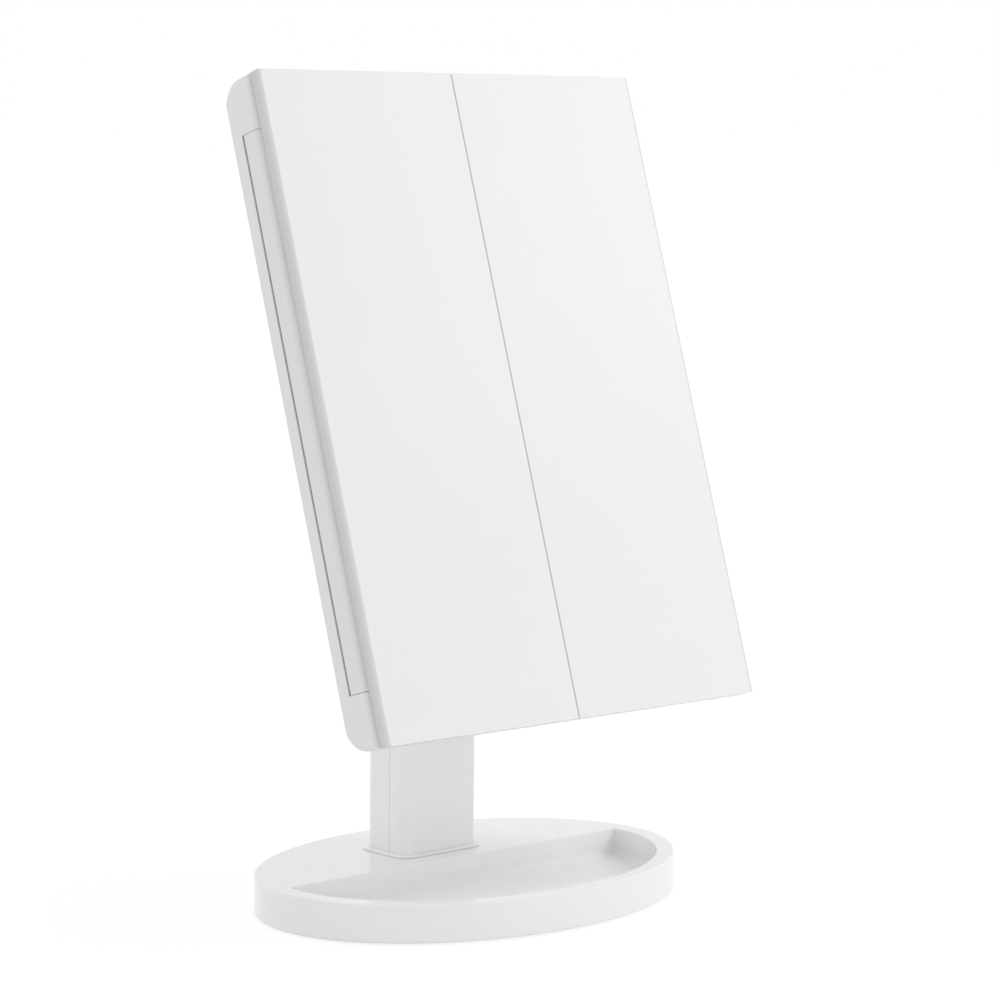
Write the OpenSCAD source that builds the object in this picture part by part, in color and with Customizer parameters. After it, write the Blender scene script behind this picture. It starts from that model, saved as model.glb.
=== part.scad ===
// Trifold vanity mirror on a stand, in millimetres.
// The origin is the centre of the base on the table, -Y is the front and +Z is up.

/* [Head] */
// Width of the head with both doors shut
panel_w = 270; // [255:1:285]
// Height of the head
panel_h = 360; // [345:1:380]
// Lean of the head from upright, in degrees
rest_tilt = 17.8; // [12:0.1:22]
// Depth of the case behind the doors
case_t = 24.4; // [22:0.1:26]
// Wall of the case
case_wall = 2.2; // [1.8:0.1:2.6]
// Corner radius of the case, seen from the front
case_corner_r = 2.5; // [1:0.5:6]
// Rounding of the case's back edges at the sides
case_edge_r = 2; // [1:0.5:4]
// Rounding of the case's back edges at the top and the bottom
case_end_r = 18; // [10:0.5:20]
// Rounding of the case's front edges at the sides
case_front_r = 4; // [1:0.5:4.5]
// Height of the case's own rim above and below the front frame
rim_h = 6; // [5:0.5:8]
// Width of the front frame's bars
frame_bar = 7.5; // [6:0.5:10]
// Width of the lit band around the middle mirror
light_band = 13; // [12:0.5:15]
// Thickness of the mirror glass, the diffuser and the front frame's step
glass_t = 2.4; // [2:0.1:2.8]
// How far the glass lies behind the face that holds it
glass_lip = 0.3; // [0.2:0.1:0.5]
// Thickness of the inner tray that carries the glass and the lights
tray_sheet = 2; // [1.6:0.1:2.4]
// Depth of the light channel behind the glass
channel_d = 6.7; // [6:0.1:7]

/* [Doors] */
// Thickness of a door
leaf_t = 6; // [5.6:0.1:6.6]
// Gap between the doors and the case
leaf_gap = 1; // [0.6:0.1:1.2]
// Gap between the two doors
door_split = 0.5; // [0.4:0.1:1]
// Outer skin of a door
leaf_skin = 1.8; // [1.5:0.1:2]
// Rim of a door around its inner frame
leaf_rim = 3; // [2.5:0.5:4]
// Rim of a door along its hinge
hinge_rim = 7.5; // [7:0.5:9]
// Corner radius of a door at its outer corners
leaf_corner_r = 1.5; // [1:0.5:4]
// Rounding of a door's outer long edge
leaf_edge_r = 3; // [1:0.5:3.5]
// Width of the inner frame's bars on a door
door_bar = 5; // [4:0.5:8]
// Thickness of the tape behind a door's mirror
tape_t = 1; // [0.8:0.1:1.2]

/* [Door hinges] */
// Height of the case's blocks above and below the knuckles
end_block_h = 30; // [26:1:34]
// Gap between a knuckle and the blocks
knuckle_end_gap = 0.3; // [0.2:0.1:0.6]
// Diameter of a hinge pin
pin_d = 3; // [2.6:0.1:3.2]
// Pin axis inside the side of the case
pin_inset = 2.8; // [2.7:0.1:3]
// Pin axis behind the doors' front face
pin_depth = 14; // [13.6:0.1:14.4]
// Radius of the knuckle behind its pin
knuckle_r = 6.8; // [6.5:0.1:7.2]
// Clearance around the knuckle in its recess
knuckle_room = 1.5; // [1:0.1:1.7]
// Thickness of the knuckle
knuckle_t = 6.1; // [5.6:0.1:6.3]
// Rounding of the knuckle's front edge
knuckle_edge_r = 4; // [2:0.5:4.5]
// Depth of the valley between knuckle and door
valley_d = 2.6; // [1:0.1:2.8]
// Reach of a pin into its block
pin_reach = 12; // [8:1:16]
// Grip of a pin in the knuckle
pin_grip = 10; // [8:1:16]

/* [Tilt hinge] */
// Tilt axis below the head's upper edge, along the head
pivot_drop = 141.4; // [135:0.1:155]
// Tilt axis behind the back of the case
pivot_back = 34; // [32:0.1:40]
// Diameter of the tilt axle
axle_d = 6; // [5:0.5:7]
// Radius of the ears around the axle
ear_r = 13; // [12:0.5:15]
// Thickness of an ear
ear_t = 8; // [7.5:0.5:9]
// Thickness of a friction washer
washer_t = 0.8; // [0.6:0.1:1]
// Outer diameter of a friction washer
washer_d = 16; // [14:0.5:20]
// Half height of the yoke's plate
yoke_half_h = 29; // [27:0.5:32]
// Thickness of the yoke's plate
yoke_plate_t = 4; // [3:0.5:5]
// Yoke plate beyond the ears, for its screws
yoke_wing = 11; // [10:0.5:14]

/* [Battery bay] */
// Diameter of a cell
cell_d = 14.5; // [13.5:0.1:14.5]
// Length of a cell
cell_l = 50.5; // [49.2:0.1:50.5]
// Pitch of the cells
cell_pitch = 15.5; // [15:0.1:16]
// Lower end of the battery bay below the head's upper edge
bay_drop = 96; // [92:1:102]
// Room for a contact at each end of the cells
contact_room = 4.5; // [4:0.1:6]
// Depth of the bay inside the case
bay_sink = 9.2; // [8.5:0.1:9.2]
// How far the bay's hump stands out behind the case
hump_t = 8; // [7.9:0.1:9]
// Wall at the sides of the hump
hump_side = 6; // [5:0.5:8]
// Thickness of the battery cover
cover_t = 2; // [1.8:0.1:2]

/* [Stand] */
// Width of the post
post_w = 55; // [50:0.5:60]
// Depth of the post
post_d = 34; // [32:0.5:36]
// Corner radius of the post
post_r = 6; // [5:0.5:8]
// Wall of the post's shells
post_wall = 2.2; // [1.8:0.1:2.6]
// Post's centre behind the base's centre
post_y = 40; // [36:0.5:42]
// Height of the tilt axis above the table
pivot_z = 302.5; // [300:0.5:310]
// Depth of the front shell, from the post's front to its seam
seam_depth = 13; // [11:0.5:12.8]
// Width of the seam
seam_w = 0.3; // [0.2:0.1:0.4]
// Width of the steel core
core_w = 40; // [36:0.5:40]
// Depth of the steel core
core_d = 20; // [18:0.5:22]
// Wall of the steel core
core_wall = 2; // [1.5:0.1:2.5]
// How far the collar at the post's foot stands out
collar_w = 3.3; // [1.5:0.1:4]
// Thickness of the collar
collar_t = 1.5; // [1:0.1:2]

/* [Base] */
// Half width of the oval base
base_a = 132; // [128:0.5:140]
// Half depth of the oval base
base_b = 94; // [92:0.5:98]
// Height of the base, with its feet
base_h = 22; // [21:0.5:25]
// Wall of the base
base_wall = 2.4; // [2:0.1:2.8]
// Gap between the base's lower edge and the table
foot_gap = 1.2; // [1:0.1:1.6]
// Diameter of a foot
foot_d = 14; // [12:0.5:16]
// Straight back edge of the tray in front of the post
tray_back = 7.5; // [2:0.5:9]
// Depth of the tray
tray_d = 14.5; // [12:0.5:15]
// Rim beside the tray at its ends
tray_rim_x = 11.5; // [9:0.5:14]
// Rim in front of the tray
tray_rim_y = 8; // [7:0.5:11]
// Rounding of the tray's two back corners
tray_corner_r = 2; // [1:0.5:8]
// Thickness of the steel weight
weight_t = 6; // [4:0.5:7]
// Screw shank diameter
screw_d = 3; // [2.5:0.1:3.5]
// Screw head diameter
head_d = 6; // [5:0.1:6]
// Screw head height
head_h = 1.8; // [1.4:0.1:1.8]

/* [Hidden] */
$fn = 96;

white = [0.95, 0.95, 0.96];
steel = [0.7, 0.71, 0.73];
silver = [0.8, 0.84, 0.88];
fit = 0.15;          // clearance of a piece that is set into another
run = 0.05;          // radial clearance of a pin or screw
air = 0.3;           // least gap between pieces that move past each other
over = 1;            // how far a cut runs past the face that it opens

// Depths behind the doors' front face
case_y = leaf_t + leaf_gap;
back_y = case_y + case_t;
floor_y = back_y - case_wall;
seat_y = case_y + glass_lip + glass_t;
sheet_y = seat_y + channel_d;
sheet_back_y = sheet_y + tray_sheet;
pivot_y = back_y + pivot_back;
pivot_up = panel_h - pivot_drop;

// Half widths and heights of the nested front pieces
side_x = panel_w / 2;
pin_x = side_x - pin_inset;
recess_r = knuckle_r + knuckle_room;
recess_wall = 1.9;
cavity_x = pin_x - recess_r - recess_wall;
ledge = 1.5;
frame_x = cavity_x + ledge;
lit_x = frame_x - frame_bar;
glass_x = lit_x - light_band;
mid_z = panel_h / 2;
frame_z = mid_z - rim_h;
cavity_z = frame_z - ledge;
lit_z = frame_z - frame_bar;
glass_z = lit_z - light_band;
tray_slack = 2;
light_tray_x = cavity_x - tray_slack;
light_tray_z = cavity_z - tray_slack;
glass_seat = 2;
inner_wall = 6;
frame_corner_r = 4;

// ---- shapes used by several pieces ----

// A rectangle with its own radius at each corner: low left, low right, high right, high left
module rounded(x0, x1, y0, y1, r) {
    difference() {
        translate([x0, y0]) square([x1 - x0, y1 - y0]);
        for (k = [0:3]) if (r[k] > 0)
            translate([k == 1 || k == 2 ? x1 : x0, k > 1 ? y1 : y0])
                mirror([k == 1 || k == 2 ? 1 : 0, 0]) mirror([0, k > 1 ? 1 : 0])
                    difference() {
                        translate([-over, -over]) square(r[k] + over);
                        translate([r[k], r[k]]) circle(r[k]);
                    }
    }
}

// A rectangle centred on the head, with round corners
module centred(half_x, half_z, r) {
    rounded(-half_x, half_x, mid_z - half_z, mid_z + half_z, [r, r, r, r]);
}

// A frame between two centred rectangles
module ring2d(out_x, out_z, in_x, in_z, r_out, r_in) {
    difference() {
        centred(out_x, out_z, r_out);
        centred(in_x, in_z, r_in);
    }
}

// Extrude an outline drawn in X and Z, from depth y over t
module slab(y, t) {
    translate([0, y + t, 0]) rotate([90, 0, 0]) linear_extrude(t) children();
}

// Extrude an outline drawn in Y and Z, from x over w
module along_x(x, w) {
    translate([x, 0, 0]) rotate([90, 0, 90]) linear_extrude(w) children();
}

// A round bar along Y, from depth y over t
module bar_y(x, y, z, d, t) {
    translate([x, y + t, z]) rotate([90, 0, 0]) cylinder(d = d, h = t);
}

module both_sides() {
    children();
    mirror([1, 0, 0]) children();
}

// The head's own frame: X across, Y behind the doors' face, Z up from the lower edge
module on_head() {
    translate([0, post_y, pivot_z]) rotate([-rest_tilt, 0, 0])
        translate([0, -pivot_y, -pivot_up]) children();
}

// A screw with its head's top at the origin and its shank down -Z
module screw(len, d = screw_d, hd = head_d, hh = head_h) {
    socket_d = hd / 2;
    socket_h = hh * 0.6;
    difference() {
        union() {
            translate([0, 0, -hh]) cylinder(d = hd, h = hh);
            translate([0, 0, -len]) cylinder(d = d, h = len);
        }
        translate([0, 0, -socket_h]) cylinder(d = socket_d, h = socket_h + over, $fn = 6);
    }
}

// The same screw driven forward into the head from depth y
module back_screw(x, y, z, len, d = screw_d, hd = head_d, hh = head_h) {
    translate([x, y, z]) rotate([-90, 0, 0]) screw(len, d, hd, hh);
}

// ---- base ----

tray_a = base_a - tray_rim_x;
tray_b = base_b - tray_rim_y;
tray_z = base_h - tray_d;
cover_top = foot_gap + base_wall;
weight_z = cover_top;
weight_top = weight_z + weight_t;
boss_d = screw_d + 5;
side_boss_in = 33;
side_boss_y = 22;
rear_boss_x = 35;
rear_boss_in = 19.5;
rear_bosses = [[base_a - side_boss_in, side_boss_y], [rear_boss_x, base_b - rear_boss_in]];
front_boss = [60, -40];
front_foot_x = 60;
front_foot_in = 27.5;
rear_foot_x = 72;
rear_foot_in = 37.5;
feet = [[front_foot_x, front_foot_in - base_b], [rear_foot_x, base_b - rear_foot_in]];
weight_in_x = 15;
weight_in_y = 25.5;
weight_a = base_a - weight_in_x;
weight_b = base_b - weight_in_y;
foot_sink = 0.8;
core_slot = 2;
rear_screw_l = 14;
floor_skin = 0.4;
front_screw_l = tray_z - foot_gap - 2 * floor_skin;
flange_w = 17;
flange_d = 13;
foot_plate_w = core_w + 2 * flange_w;
foot_plate_d = core_d + 2 * flange_d;
foot_plate_t = 3;
foot_plate_r = 4;
hole_inset = 7;
core_holes = [for (x = [-1, 1], y = [-1, 1])
    [x * (foot_plate_w / 2 - hole_inset), y * (foot_plate_d / 2 - hole_inset)]];
core_bolt_d = 4;
core_bolt_head = 8;
core_head_hole = core_bolt_head + 2;
core_bolt_head_h = 2.5;
nut_h = 3.2;

// An oval prism of half width a and half depth b
module oval(a, b, h) {
    steps = 96;
    linear_extrude(h) polygon([for (k = [0:steps - 1])
        let (turn = 360 * k / steps) [a * cos(turn), b * sin(turn)]]);
}

// The tray's outline pushed out by grow, standing from z over h
module tray_block(grow, z, h) {
    corner = tray_corner_r + grow;
    back = tray_back + grow;
    reach = (tray_a + grow) * sqrt(1 - pow((tray_back - tray_corner_r) / (tray_b + grow), 2));
    translate([0, 0, z]) intersection() {
        oval(tray_a + grow, tray_b + grow, h);
        linear_extrude(h) rounded(-reach, reach, -base_b, back, [0, 0, corner, corner]);
    }
}

module base_outer() {
    translate([0, 0, foot_gap]) oval(base_a, base_b, base_h - foot_gap);
}

module at_rear_bosses() {
    both_sides() for (p = rear_bosses) translate(p) children();
}

module at_front_bosses() {
    both_sides() translate(front_boss) children();
}

module base_shell() color(white) {
    skin = base_wall;
    difference() {
        base_outer();
        difference() {
            translate([0, 0, -over])
                oval(base_a - base_wall, base_b - base_wall, base_h - base_wall + over);
            tray_block(skin, tray_z - skin, base_h);
            at_rear_bosses() translate([0, 0, cover_top]) cylinder(d = boss_d, h = base_h);
            at_front_bosses() translate([0, 0, cover_top]) cylinder(d = boss_d, h = base_h);
        }
        tray_block(0, tray_z, base_h);
        translate([0, post_y, base_h - base_wall - over]) linear_extrude(base_wall + 2 * over)
            square([core_w + 2 * core_slot, core_d + 2 * core_slot], center = true);
        at_rear_bosses() translate([0, 0, cover_top - over])
            cylinder(d = screw_d + 2 * run, h = rear_screw_l);
        at_front_bosses() translate([0, 0, cover_top - over])
            cylinder(d = screw_d + 2 * run, h = tray_z - cover_top + over - floor_skin);
    }
}

module base_cover() color(white) difference() {
    translate([0, 0, foot_gap])
        oval(base_a - base_wall - fit, base_b - base_wall - fit, base_wall);
    for (p = feet) both_sides() translate([p[0], p[1], -over])
        cylinder(d = foot_d + 2 * fit, h = foot_gap + foot_sink + over);
    at_rear_bosses() screw_seat();
    at_front_bosses() screw_seat();
    for (p = core_holes) translate([p[0], post_y + p[1], 0]) cylinder(d = core_head_hole, h = base_h);
}

// Hole and counterbore for a screw driven up from below
module screw_seat() {
    cylinder(d = screw_d + 2 * run, h = base_h);
    cylinder(d = head_d + 2 * fit, h = foot_gap + head_h);
}

module steel_weight() color(steel) difference() {
    front = tray_back + base_wall + 2;
    translate([0, 0, weight_z]) intersection() {
        oval(weight_a, weight_b, weight_t);
        translate([-base_a, front, -over]) cube([2 * base_a, base_b, weight_t + 2 * over]);
    }
    at_rear_bosses() cylinder(d = boss_d + 2, h = base_h);
    for (p = core_holes) translate([p[0], post_y + p[1], 0]) {
        cylinder(d = core_bolt_d + 2 * run, h = base_h);
        cylinder(d = core_bolt_head + 2 * fit, h = weight_z + core_bolt_head_h);
    }
}

module rubber_feet() color([0.25, 0.25, 0.26])
    for (p = feet) both_sides() translate(p) cylinder(d = foot_d, h = foot_gap + foot_sink);

module base_screws() color(steel) {
    at_rear_bosses() translate([0, 0, foot_gap]) rotate([180, 0, 0]) screw(rear_screw_l);
    at_front_bosses() translate([0, 0, foot_gap]) rotate([180, 0, 0]) screw(front_screw_l);
}

// ---- post ----

pivot_r = post_d / 2;
core_top = pivot_z + core_d / 2;
seam_y = post_y - post_d / 2 + seam_depth;
bush_d = axle_d + 3;
bush_x = post_w / 2 - 13;

// The post's solid form, drawn in by inset on every side but its foot
module post_form(inset) {
    half_w = post_w / 2 - inset;
    half_d = post_d / 2 - inset;
    r = post_r - inset;
    intersection() {
        translate([0, post_y, base_h - over * sign(inset)]) linear_extrude(pivot_z)
            rounded(-half_w, half_w, -half_d, half_d, [r, r, r, r]);
        along_x(-post_w, 2 * post_w) {
            translate([post_y - half_d, 0]) square([2 * half_d, pivot_z]);
            translate([post_y, pivot_z]) circle(pivot_r - inset);
        }
    }
}

module axle_hole(d) {
    translate([-post_w, post_y, pivot_z]) rotate([0, 90, 0]) cylinder(d = d, h = 2 * post_w);
}

shell_screw_z = [80, 240];
shell_screw_l = post_d - 7;
boss_reach = post_d / 2 - core_d / 2;

module post_front_shell() color(white) difference() {
    union() {
        intersection() {
            difference() {
                post_form(0);
                post_form(post_wall);
            }
            translate([-post_w, 0, 0])
                cube([2 * post_w, seam_y - seam_w / 2, 2 * pivot_z]);
        }
        for (z = shell_screw_z)
            bar_y(0, post_y - post_d / 2 + post_wall / 2, z, boss_d, boss_reach - post_wall / 2);
    }
    for (z = shell_screw_z)
        bar_y(0, post_y - post_d / 2 + post_wall, z, screw_d + 2 * run, post_d);
    axle_hole(bush_d + 2 * fit);
}

module post_rear_shell() color(white) difference() {
    union() {
        intersection() {
            difference() {
                post_form(0);
                post_form(post_wall);
            }
            translate([-post_w, seam_y + seam_w / 2, 0]) cube([2 * post_w, post_d, 2 * pivot_z]);
        }
        for (z = shell_screw_z)
            bar_y(0, post_y + core_d / 2, z, boss_d, boss_reach - post_wall / 2);
    }
    for (z = shell_screw_z) {
        bar_y(0, post_y, z, screw_d + 2 * run, post_d);
        bar_y(0, post_y + post_d / 2 - head_h, z, head_d + 2 * fit, post_d);
    }
    axle_hole(bush_d + 2 * fit);
}

module post_core() color(steel) difference() {
    union() {
        translate([0, post_y, weight_top]) linear_extrude(core_top - weight_top)
            square([core_w, core_d], center = true);
        translate([0, post_y, weight_top]) linear_extrude(foot_plate_t)
            rounded(-foot_plate_w / 2, foot_plate_w / 2, -foot_plate_d / 2, foot_plate_d / 2,
                [foot_plate_r, foot_plate_r, foot_plate_r, foot_plate_r]);
    }
    translate([0, post_y, weight_top - over]) linear_extrude(core_top)
        square([core_w - 2 * core_wall, core_d - 2 * core_wall], center = true);
    axle_hole(bush_d + 2 * run);
    for (z = shell_screw_z) bar_y(0, 0, z, screw_d + 2 * run, 2 * post_y);
    for (p = core_holes) translate([p[0], post_y + p[1], 0])
        cylinder(d = core_bolt_d + 2 * run, h = base_h);
}

core_bolt_l = weight_t + foot_plate_t + nut_h + 0.8;

module core_bolts() color(steel)
    for (p = core_holes) translate([p[0], post_y + p[1], weight_z]) rotate([180, 0, 0])
        screw(core_bolt_l, core_bolt_d, core_bolt_head, core_bolt_head_h);

module core_nuts() color(steel)
    for (p = core_holes) translate([p[0], post_y + p[1], weight_top + foot_plate_t])
        difference() {
            cylinder(d = core_bolt_d * 2, h = nut_h, $fn = 6);
            translate([0, 0, -over]) cylinder(d = core_bolt_d + 2 * run, h = nut_h + 2 * over);
        }

module shell_screws() color(steel)
    for (z = shell_screw_z) back_screw(0, post_y + post_d / 2, z, shell_screw_l);

module hinge_bushes() color([0.85, 0.84, 0.8])
    both_sides() translate([bush_x, post_y, pivot_z]) rotate([0, 90, 0]) difference() {
        cylinder(d = bush_d, h = post_w / 2 - bush_x);
        translate([0, 0, -over]) cylinder(d = axle_d + 2 * run, h = post_w);
    }

module post_collar() color(white) translate([0, post_y, base_h]) difference() {
    half_w = post_w / 2 + collar_w;
    half_d = post_d / 2 + collar_w;
    r = post_r + collar_w;
    linear_extrude(collar_t) rounded(-half_w, half_w, -half_d, half_d, [r, r, r, r]);
    translate([0, 0, -over]) linear_extrude(collar_t + 2 * over)
        rounded(-post_w / 2 - fit, post_w / 2 + fit, -post_d / 2 - fit, post_d / 2 + fit,
            [post_r + fit, post_r + fit, post_r + fit, post_r + fit]);
}

// ---- case ----

bay_x = 2 * cell_pitch + 1;
bay_low = panel_h - bay_drop;
bay_l = cell_l + 2 * contact_room;
bay_high = bay_low + bay_l;
bay_floor_y = back_y - bay_sink;
bay_floor_t = 1.6;
bay_wall = 2;
hump_x = bay_x + hump_side;
hump_y = back_y + hump_t;
hump_low = bay_low - 6;
hump_high = bay_high + 6.5;
hump_r = 4;
cover_in_y = hump_y - cover_t;
cover_low = bay_low - 2;
lip_t = cover_t / 2;
cover_x = bay_x + 0.7;
tongue_x = cover_x + 2;
case_screw_in = 42;
case_screw_x = cavity_x - case_screw_in;
case_screw_end = 40;
case_screws_z = [case_screw_end, mid_z, panel_h - case_screw_end];
yoke_x = post_w / 2 + air + washer_t + ear_t + yoke_wing;
yoke_screw_x = yoke_x - 5.5;
yoke_screw_dz = yoke_half_h - 8;
yoke_boss_l = 8;
board_w = 60;
board_h = 30;
board_side = cavity_x - 17;
board_z = 105;
board = [board_side - board_w, board_side, board_z, board_z + board_h];
board_t = 1.6;
board_back_y = floor_y - 5.1;
board_y = board_back_y - board_t;
board_inset = 4;
board_screw_d = 2;
board_screw_l = 6;
board_head_h = 1.2;
usb_x = board[0] + 17;
switch_x = board[1] - 17;
part_z = board_z + board_h / 2;
usb_w = 9;
usb_h = 3.3;
slide_travel = 4;
nub_w = 3.4;
nub_h = 4;

module at_case_screws() {
    both_sides() for (z = case_screws_z) translate([case_screw_x, 0, z]) children();
}

module at_yoke_screws() {
    both_sides() for (s = [-1, 1])
        translate([yoke_screw_x, 0, pivot_up + s * yoke_screw_dz]) children();
}

module at_board_screws() {
    for (x = [board[0] + board_inset, board[1] - board_inset],
            z = [board[2] + board_inset, board[3] - board_inset])
        translate([x, 0, z]) children();
}

// Outer form of the case: three outlines crossed, one seen from each direction
module case_form() {
    f = case_front_r;
    e = case_edge_r;
    c = case_corner_r;
    intersection() {
        linear_extrude(panel_h) rounded(-side_x, side_x, case_y, back_y, [f, f, e, e]);
        slab(case_y, case_t) rounded(-side_x, side_x, 0, panel_h, [c, c, c, c]);
        along_x(-side_x, panel_w) rounded(case_y, back_y, 0, panel_h,
            [1, case_end_r, case_end_r, 1]);
    }
}

module case_cavity() difference() {
    end_r = case_end_r - case_wall;
    intersection() {
        slab(case_y - over, floor_y - case_y + over) centred(cavity_x, cavity_z, frame_corner_r);
        along_x(-side_x, panel_w) rounded(case_y - 2 * over, floor_y, case_wall,
            panel_h - case_wall, [0, end_r, end_r, 0]);
    }
    at_case_screws() bar_y(0, sheet_back_y, 0, boss_d, case_t);
    at_yoke_screws() bar_y(0, back_y - case_wall - yoke_boss_l, 0, boss_d, case_t);
    at_board_screws() bar_y(0, board_back_y, 0, 5, case_t);
    slab(bay_floor_y - bay_floor_t, case_t)
        rounded(-bay_x - bay_wall, bay_x + bay_wall, bay_low - bay_wall, bay_high + bay_wall,
            [1, 1, 1, 1]);
}

// What the sliding cover needs: its opening, its side grooves and its way out at the top
module cover_room() {
    slab(cover_in_y - air, cover_t + air + over)
        rounded(-cover_x - air, cover_x + air, cover_low - air, panel_h, [1, 1, 0, 0]);
    slab(cover_in_y - air, lip_t + 2 * air)
        rounded(-tongue_x - air, tongue_x + air, cover_low - air, panel_h, [1, 1, 0, 0]);
}

module rear_case() color(white) on_head() difference() {
    union() {
        case_form();
        slab(back_y - over, hump_t + over) rounded(-hump_x, hump_x, hump_low, hump_high,
            [hump_r, hump_r, hump_r, hump_r]);
    }
    case_cavity();
    slab(case_y - over, seat_y - case_y + over)
        centred(frame_x + fit, frame_z + fit, frame_corner_r + ledge);
    both_sides() {
        translate([pin_x, pin_depth, end_block_h])
            cylinder(r = recess_r, h = panel_h - 2 * end_block_h);
        for (z = [end_block_h - pin_reach - air, panel_h - end_block_h - over])
            translate([pin_x, pin_depth, z])
                cylinder(d = pin_d + 2 * run, h = pin_reach + air + over);
    }
    slab(bay_floor_y, case_t + hump_t)
        rounded(-bay_x, bay_x, bay_low, bay_high, [1, 1, 1, 1]);
    cover_room();
    at_case_screws() {
        bar_y(0, sheet_back_y - over, 0, screw_d + 2 * run, case_t);
        bar_y(0, back_y - head_h - 0.2, 0, head_d + 2 * fit, case_t);
    }
    at_yoke_screws() bar_y(0, floor_y - yoke_boss_l + 1, 0, screw_d + 2 * run, case_t);
    at_board_screws() bar_y(0, board_back_y - over, 0, board_screw_d + 2 * run,
        board_screw_l - board_t + over + 0.2);
    slab(floor_y - over, case_wall + 2 * over) {
        rounded(usb_x - usb_w / 2 - air, usb_x + usb_w / 2 + air,
            part_z - usb_h / 2 - air, part_z + usb_h / 2 + air, [1, 1, 1, 1]);
        rounded(switch_x - nub_w / 2 - air, switch_x + nub_w / 2 + air,
            part_z - nub_h / 2 - air, part_z + nub_h / 2 + slide_travel + air, [0, 0, 0, 0]);
    }
}

// Bent spring strip between the bay's end wall and a cell
module contact(x, end_z, side) {
    plate_t = 0.5;
    half = 5;
    fold_y = 6;
    y = bay_floor_y + air + cell_d / 2;
    translate([0, 0, end_z]) mirror([0, 0, side > 0 ? 0 : 1]) along_x(x - half, 2 * half) {
        translate([y - fold_y, 0]) square([2 * fold_y, plate_t]);
        polygon([[y - fold_y, 0], [y - 1, contact_room - air / 2], [y + 1, contact_room - air / 2],
            [y + fold_y - 1, plate_t + 0.6], [y + fold_y - 1, plate_t + 1.2],
            [y + 1.2, contact_room - 0.05], [y - 1.2, contact_room - 0.05],
            [y - fold_y, plate_t + 0.4]]);
    }
}

cell_xs = [for (k = [-1.5:1:1.5]) k * cell_pitch];

module battery_contacts() color(steel) on_head() for (x = cell_xs) {
    contact(x, bay_low, 1);
    contact(x, bay_high, -1);
}

module aa_cells() color([0.3, 0.33, 0.36]) on_head() for (k = [0:3]) {
    cap_h = 1;
    cap_d = 5.5;
    up = k % 2;
    translate([cell_xs[k], bay_floor_y + air + cell_d / 2, bay_low + contact_room + cell_l / 2])
        mirror([0, 0, up]) translate([0, 0, -cell_l / 2]) {
            cylinder(d = cell_d, h = cell_l - cap_h);
            cylinder(d = cap_d, h = cell_l);
        }
}

module battery_cover() color(white) on_head() {
    grip_t = 0.5;
    grip_x = 9;
    grip_pitch = 3;
    high = hump_high - air;
    grip_top = high - grip_x;
    slab(cover_in_y, cover_t) rounded(-cover_x, cover_x, cover_low, high, [1, 1, 1, 1]);
    slab(cover_in_y, lip_t) rounded(-tongue_x, tongue_x, cover_low, high, [1, 1, 1, 1]);
    for (k = [0:4]) slab(hump_y - over, over + grip_t)
        rounded(-grip_x, grip_x, grip_top - 1 - grip_pitch * k, grip_top - grip_pitch * k,
            [0.4, 0.4, 0.4, 0.4]);
}

// ---- tilt hinge on the head ----

ear_in = post_w / 2 + air + washer_t;
ear_out = ear_in + ear_t;
cap_t = 1.4;
cap_d = 18;
bolt_head_d = 10;
bolt_head_h = 3.2;
axle_end = ear_out - cap_t - air;

// Where the straight line from the yoke's plate meets the ear's round end
function ear_angle() = atan2(pivot_back - 2, yoke_half_h - 3)
    - acos(ear_r / norm([pivot_back - 2, yoke_half_h - 3]));

module ear_outline() {
    a = ear_angle();
    root_z = yoke_half_h - 3;
    touch = [-ear_r * sin(a), ear_r * cos(a)];
    polygon([[back_y + 2, pivot_up - root_z], [pivot_y + touch[0], pivot_up - touch[1]],
        [pivot_y + touch[0], pivot_up + touch[1]], [back_y + 2, pivot_up + root_z]]);
    translate([pivot_y, pivot_up]) circle(ear_r);
}

module across_pivot(x, d, w, sides = 0) {
    translate([x, pivot_y, pivot_up]) rotate([0, 90, 0])
        cylinder(d = d, h = w, $fn = sides > 0 ? sides : $fn);
}

module hinge_yoke() color(white) on_head() difference() {
    union() {
        slab(back_y, yoke_plate_t)
            rounded(-yoke_x, yoke_x, pivot_up - yoke_half_h, pivot_up + yoke_half_h,
                [6, 6, 6, 6]);
        both_sides() along_x(ear_in, ear_t) ear_outline();
    }
    across_pivot(-yoke_x, axle_d + 2 * run, 2 * yoke_x);
    both_sides() {
        across_pivot(axle_end - bolt_head_h - 0.2, bolt_head_d + 1.6, ear_t);
        across_pivot(ear_out - cap_t, cap_d + 2 * fit, ear_t);
    }
    at_yoke_screws() {
        bar_y(0, back_y - over, 0, screw_d + 2 * run, case_t);
        bar_y(0, back_y + yoke_plate_t - head_h, 0, head_d + 2 * fit, case_t);
    }
}

yoke_screw_l = yoke_plate_t + case_wall + yoke_boss_l - 2;

module yoke_screws() color(steel) on_head() at_yoke_screws()
    back_screw(0, back_y + yoke_plate_t, 0, yoke_screw_l);

module tilt_axle() color(steel) on_head() {
    across_pivot(-axle_end, axle_d, 2 * axle_end);
    across_pivot(-axle_end, bolt_head_d, bolt_head_h);
}

module axle_nut() color(steel) on_head() difference() {
    across_pivot(axle_end - bolt_head_h, bolt_head_d, bolt_head_h, 6);
    across_pivot(0, axle_d + 2 * run, 2 * axle_end);
}

module friction_washers() color([0.55, 0.5, 0.45]) on_head() both_sides() difference() {
    across_pivot(ear_in - washer_t, washer_d, washer_t);
    across_pivot(0, axle_d + 2 * run, 2 * axle_end);
}

module axle_caps() color(white) on_head() both_sides() across_pivot(ear_out - cap_t, cap_d, cap_t);

// ---- front of the head ----

module front_frame() color(white) on_head()
    slab(case_y, seat_y - case_y)
        ring2d(frame_x, frame_z, lit_x, lit_z, frame_corner_r + ledge, frame_corner_r);

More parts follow.
